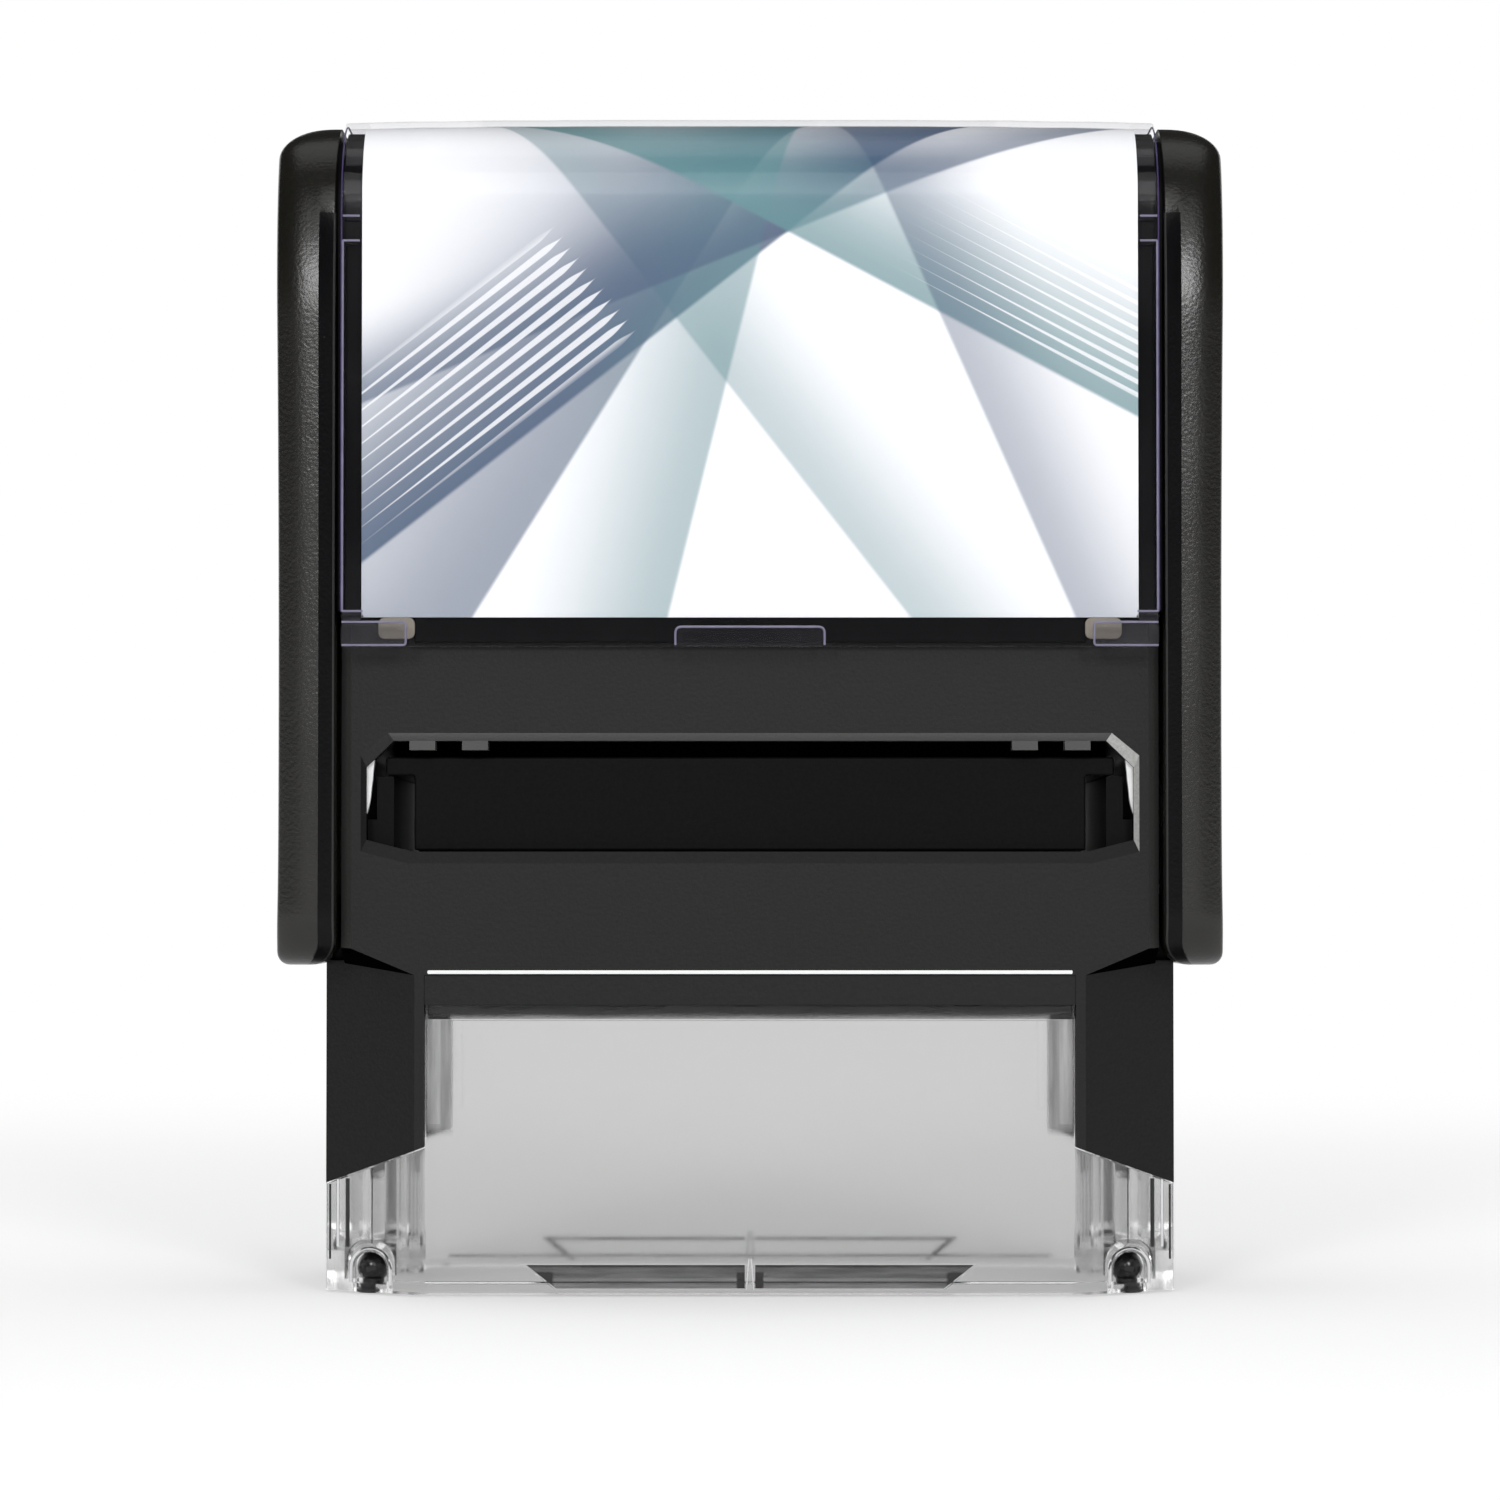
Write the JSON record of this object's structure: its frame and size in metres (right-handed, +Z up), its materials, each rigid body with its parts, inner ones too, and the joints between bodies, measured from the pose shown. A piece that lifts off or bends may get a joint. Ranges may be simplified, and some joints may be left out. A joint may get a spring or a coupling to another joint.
{
  "type": "self inking stamp",
  "caption": "Self inking stamp: a sprung press cap with side grips and a clear index window over a black housing on a clear foot, with a die that flips from ink pad to paper.",
  "frame": {"origin": "on the table under the middle of the stamp", "axes": "+Z up, the front with the sighting window faces -Y, +X to the right seen from the front"},
  "size_m": [0.0738, 0.0406, 0.0913],
  "materials": {
    "black_shell": "fine grained charcoal black",
    "black_grip": "soft satin warm black",
    "black_part": "plain black",
    "clear_plastic": "clear",
    "window_plastic": "clear with a faint lilac edge",
    "printed_card": "white card with a slate blue and teal print",
    "foot_rubber": "matt",
    "spring_steel": "drawn wire",
    "cushion_foam": "soft foam",
    "plate_rubber": "matt",
    "ink_foam": "ink soaked foam"
  },
  "bodies": {
    "frame": {"housing": "black_shell", "clear_base": "clear_plastic", "left_cam_plate": "clear_plastic", "right_cam_plate": "clear_plastic", "front_left_foot": "foot_rubber", "front_right_foot": "foot_rubber", "rear_left_foot": "foot_rubber", "rear_right_foot": "foot_rubber", "left_spring": "spring_steel", "right_spring": "spring_steel"},
    "cap": {"cap_core": "black_part", "left_grip": "black_grip", "right_grip": "black_grip"},
    "window": {"index_window": "window_plastic", "index_card": "printed_card"},
    "die": {"die_holder": "black_part", "die_cushion": "cushion_foam", "text_plate": "plate_rubber"},
    "cartridge": {"pad_tray": "black_part", "ink_pad": "ink_foam"},
    "left_lock": {"left_lock_button": "black_part"},
    "right_lock": {"right_lock_button": "black_part"}
  },
  "joints": [
    {"name": "press", "type": "slide", "parent": "frame", "child": "cap", "axis": [0, 0, -1], "range_m": [0, 0.025], "stiffness_N_per_m": 400, "springref_m": -0.0125, "deforming": ["left_spring", "right_spring"]},
    {"name": "die_flip", "type": "hinge", "parent": "cap", "child": "die", "pos_m": [0, 0, 0.0295], "axis": [1, 0, 0], "range_deg": [0, 180]},
    {"name": "pad_slide", "type": "slide", "parent": "frame", "child": "cartridge", "axis": [0, -1, 0], "range_m": [0, 0.04]},
    {"name": "window_lift", "type": "slide", "parent": "cap", "child": "window", "axis": [0, 0, 1], "range_m": [0, 0.045]},
    {"name": "left_lock_push", "type": "slide", "parent": "cap", "child": "left_lock", "axis": [1, 0, 0], "range_m": [0, 0.001], "stiffness_N_per_m": 150},
    {"name": "right_lock_push", "type": "slide", "parent": "cap", "child": "right_lock", "axis": [-1, 0, 0], "range_m": [0, 0.001], "stiffness_N_per_m": 150}
  ],
  "couplings": [
    {"joint": "die_flip", "follows": "press", "rad_per_m": 125.66}
  ]
}
